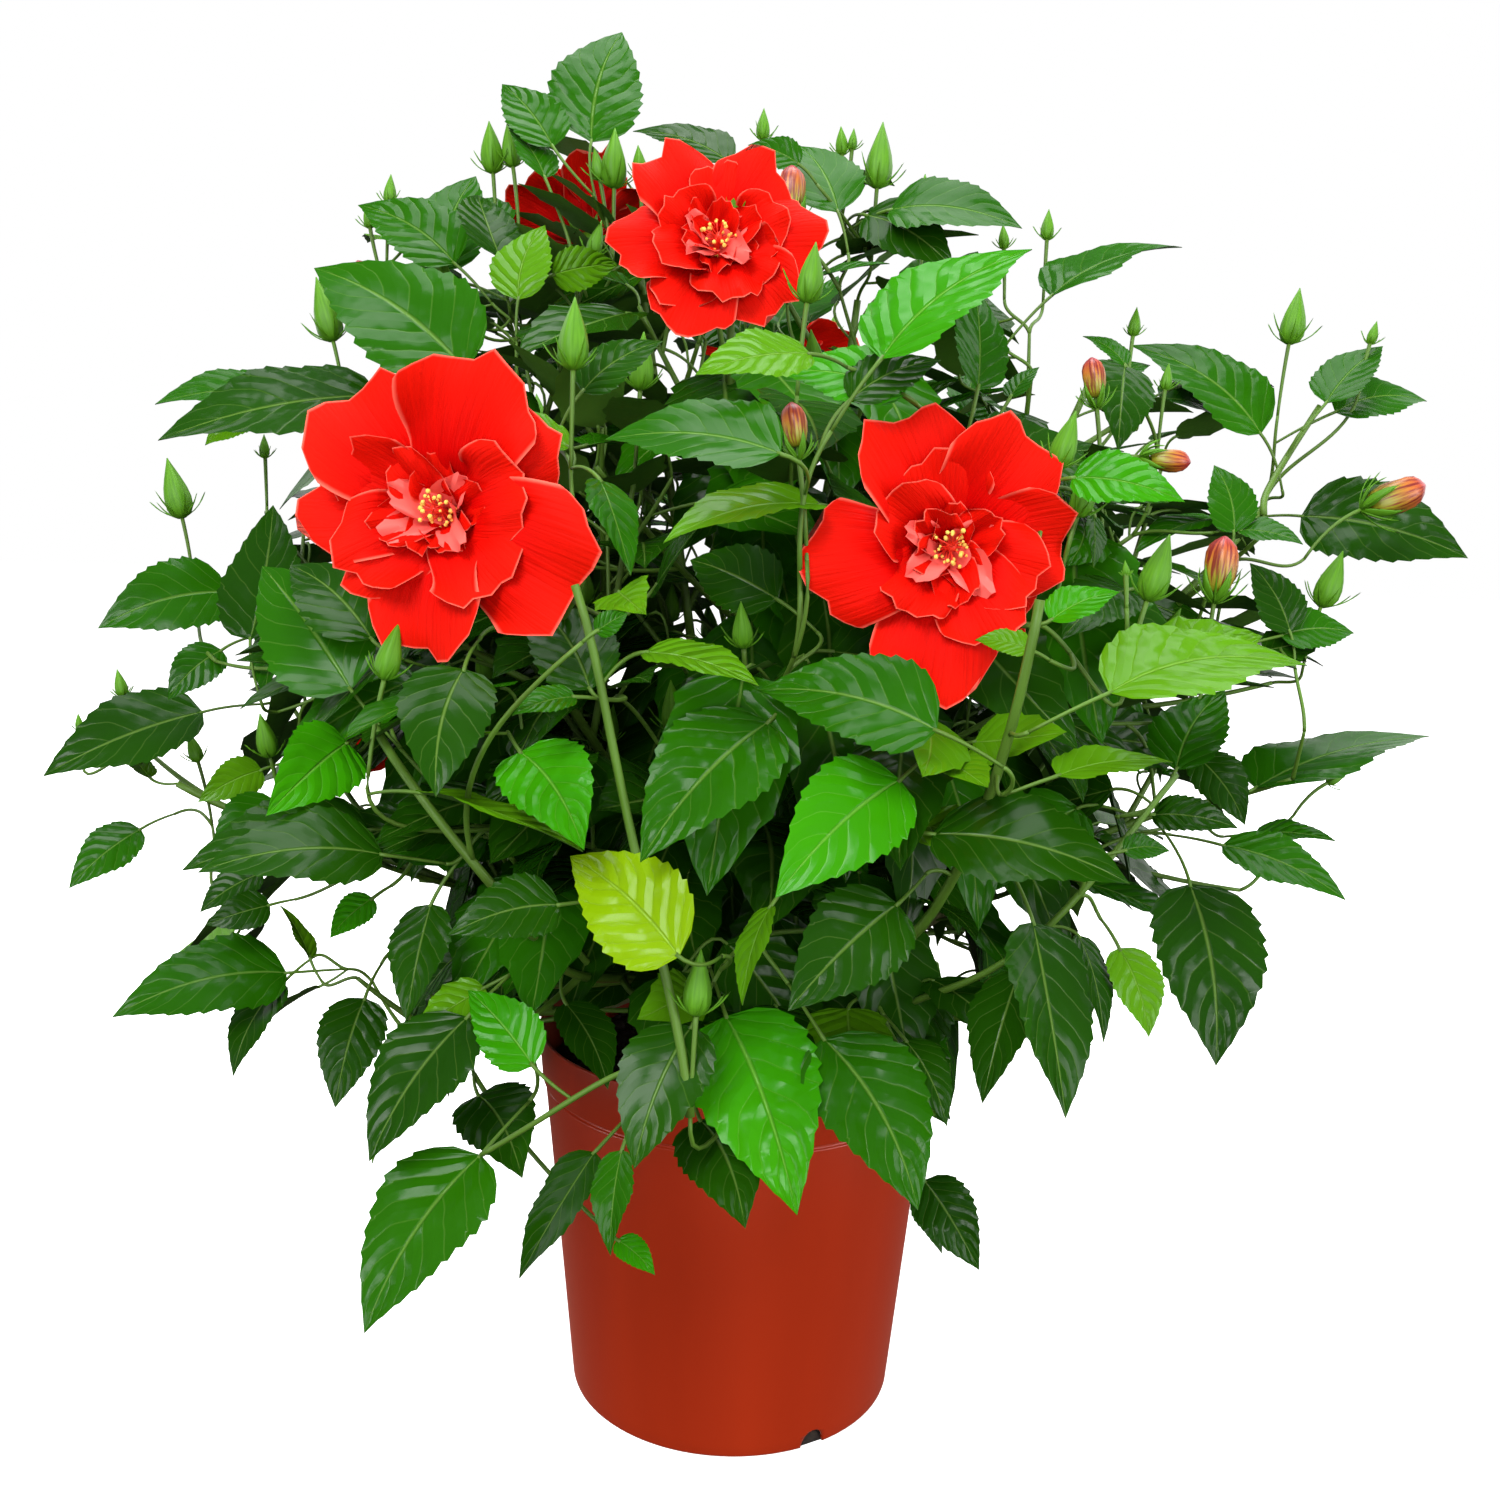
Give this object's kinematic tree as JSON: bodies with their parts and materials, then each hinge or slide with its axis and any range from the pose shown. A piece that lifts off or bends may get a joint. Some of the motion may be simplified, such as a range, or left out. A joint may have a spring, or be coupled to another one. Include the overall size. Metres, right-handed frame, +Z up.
{
  "type": "potted hibiscus shrub",
  "caption": "Bushy double-flowered red hibiscus in a round plastic nursery pot, with a short trunk, arching boughs and masses of toothed leaves.",
  "frame": {"origin": "centre of the flat underside of the pot, on the surface that it stands on", "axes": "+Z up, +X to the plant's right as the picture shows it, -Y towards the picture's camera"},
  "size_m": [0.7463, 0.5741, 0.7208],
  "materials": {
    "pot": "smooth injection moulded terracotta coloured plastic, satin",
    "potting_mix": "dark peat and bark crumbs",
    "bark": "young grey-green to brown bark with small pores",
    "foliage": "glossy toothed leaves on green shoots, with green buds",
    "flower": "satin crinkled red petals"
  },
  "bodies": {
    "root": {"pot": "pot", "potting_mix": "potting_mix", "trunk": "bark", "bough_top_left": "bark", "bough_top_right": "bark", "bough_top_front": "bark", "bough_back_top": "bark", "bough_upper_left": "bark", "bough_left_shoulder": "bark", "bough_front_left": "bark", "bough_back_left_up": "bark", "bough_upper_right": "bark", "bough_right_shoulder": "bark", "bough_front_right": "bark", "bough_back_right_up": "bark", "bough_left": "bark", "bough_left_low": "bark", "bough_back_left": "bark", "bough_right": "bark", "bough_right_low": "bark", "bough_back_right": "bark", "bough_front_low_left": "bark", "bough_front_low_right": "bark", "bough_back_low": "bark", "foliage_top_left": "foliage", "foliage_top_right": "foliage", "foliage_top_front": "foliage", "foliage_back_top": "foliage", "foliage_upper_left": "foliage", "foliage_left_shoulder": "foliage", "foliage_front_left": "foliage", "foliage_back_left_up": "foliage", "foliage_upper_right": "foliage", "foliage_right_shoulder": "foliage", "foliage_front_right": "foliage", "foliage_back_right_up": "foliage", "foliage_left": "foliage", "foliage_left_low": "foliage", "foliage_back_left": "foliage", "foliage_right": "foliage", "foliage_right_low": "foliage", "foliage_back_right": "foliage", "foliage_front_low_left": "foliage", "foliage_front_low_right": "foliage", "foliage_back_low": "foliage"}
  },
  "joints": []
}
